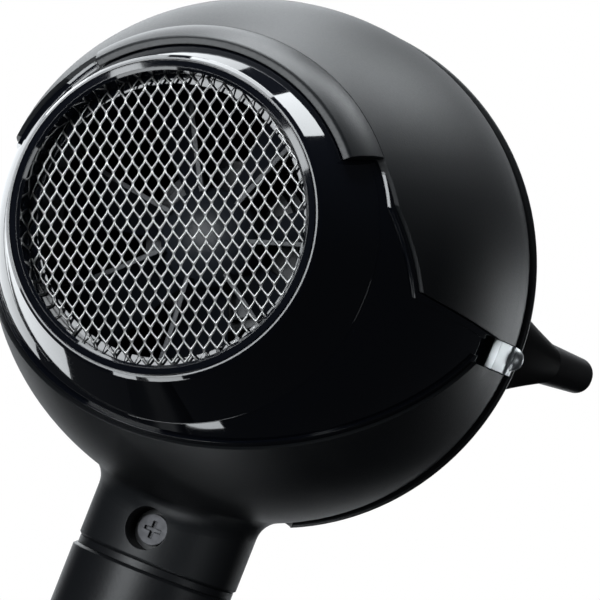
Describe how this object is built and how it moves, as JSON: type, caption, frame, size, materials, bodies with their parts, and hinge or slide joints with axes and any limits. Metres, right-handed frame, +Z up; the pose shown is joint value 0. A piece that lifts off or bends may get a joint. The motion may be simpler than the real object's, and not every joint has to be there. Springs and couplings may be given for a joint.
{
  "type": "travel hair dryer",
  "caption": "Compact hand dryer with an egg-shaped body, rear mesh inlet, hooded gloss cowl, straight handle with switches, and a flat turning concentrator nozzle.",
  "frame": {"origin": "on the handle's axis, in the middle of the plain grip band below the switches", "axes": "+Z up the handle to the head, +Y towards the rear air inlet, nozzle towards -Y"},
  "size_m": [0.1004, 0.1635, 0.2229],
  "materials": {
    "body_satin": "satin moulded plastic with a fine spark texture",
    "hood_satin": "satin moulded plastic",
    "gloss_black": "polished piano black",
    "grip_satin": "satin grip plastic",
    "mesh_steel": "bright expanded metal",
    "trim_silver": "satin silver trim",
    "nozzle_black": "heat-resistant plastic",
    "control_grey": "ribbed switch plastic",
    "barrel_metal": "dark heat-shield metal",
    "fan_plastic": "blue-grey fan plastic",
    "motor_steel": "zinc-plated steel",
    "mica": "heater mica board",
    "heater_wire": "nickel-chrome wire",
    "board_green": "circuit board",
    "wire_yellow": "insulated wire",
    "screw_steel": "plated screw",
    "rubber_black": "soft black rubber"
  },
  "bodies": {
    "housing": {"main_shell": "body_satin", "front_shell": "body_satin", "hood_cover": "hood_satin", "rear_cowl": "gloss_black", "bezel_ring": "gloss_black", "trim_plate_left": "trim_silver", "trim_plate_right": "trim_silver", "trim_washer_left": "trim_silver", "trim_washer_right": "trim_silver", "trim_pin_left": "trim_silver", "trim_pin_right": "trim_silver", "outlet_barrel": "barrel_metal", "outlet_grille": "nozzle_black", "fan_duct": "fan_plastic", "motor_mount": "fan_plastic", "motor_can": "motor_steel", "motor_end_cap": "fan_plastic", "motor_magnets": "rubber_black", "heater_board_flat": "mica", "heater_board_upright": "mica", "heater_coils": "heater_wire", "mica_tube": "mica", "thermostat": "motor_steel", "thermal_fuse": "motor_steel", "rectifier_board": "board_green", "rectifier_diodes": "rubber_black", "handle_rear": "grip_satin", "handle_front": "grip_satin", "neck_ring": "grip_satin", "neck_screw": "screw_steel", "handle_screw": "screw_steel", "switch_plate": "gloss_black", "button_spring": "motor_steel", "switch_board": "board_green", "supply_wires": "wire_yellow", "end_cap": "grip_satin", "cord_gland": "rubber_black", "loop_pin": "motor_steel"},
    "fan": {"motor_shaft": "motor_steel", "motor_rotor": "heater_wire", "fan_impeller": "fan_plastic"},
    "grille_insert": {"grille_frame": "gloss_black", "inlet_mesh": "mesh_steel", "mesh_retainer": "gloss_black"},
    "collar": {"swivel_collar": "gloss_black"},
    "nozzle": {"concentrator": "nozzle_black"},
    "power_switch": {"power_slider": "control_grey"},
    "heat_switch": {"heat_slider": "control_grey"},
    "cool_shot": {"cool_button": "control_grey"},
    "loop": {"hanging_loop": "grip_satin"}
  },
  "joints": [
    {"name": "fan_spin", "type": "hinge", "parent": "housing", "child": "fan", "pos_m": [0, 0.004, 0.11275], "axis": [0, 1, 0], "continuous": true},
    {"name": "grille_pull", "type": "slide", "parent": "housing", "child": "grille_insert", "axis": [0, 1, 0], "range_m": [0, 0.012]},
    {"name": "nozzle_turn", "type": "hinge", "parent": "housing", "child": "collar", "pos_m": [0, 0.004, 0.11275], "axis": [0, 1, 0], "continuous": true},
    {"name": "nozzle_pull", "type": "slide", "parent": "collar", "child": "nozzle", "axis": [0, -1, 0], "range_m": [0, 0.016]},
    {"name": "power_slide", "type": "slide", "parent": "housing", "child": "power_switch", "axis": [0, 0, 1], "range_m": [-0.0025, 0.0025]},
    {"name": "heat_slide", "type": "slide", "parent": "housing", "child": "heat_switch", "axis": [0, 0, 1], "range_m": [-0.0025, 0.0025]},
    {"name": "cool_press", "type": "slide", "parent": "housing", "child": "cool_shot", "axis": [0, 1, 0], "range_m": [0, 0.0012], "stiffness_N_per_m": 300, "springref_m": -0.001},
    {"name": "loop_swing", "type": "hinge", "parent": "housing", "child": "loop", "pos_m": [0, 0.0122, -0.0399], "axis": [1, 0, 0], "range_deg": [0, 85]}
  ]
}
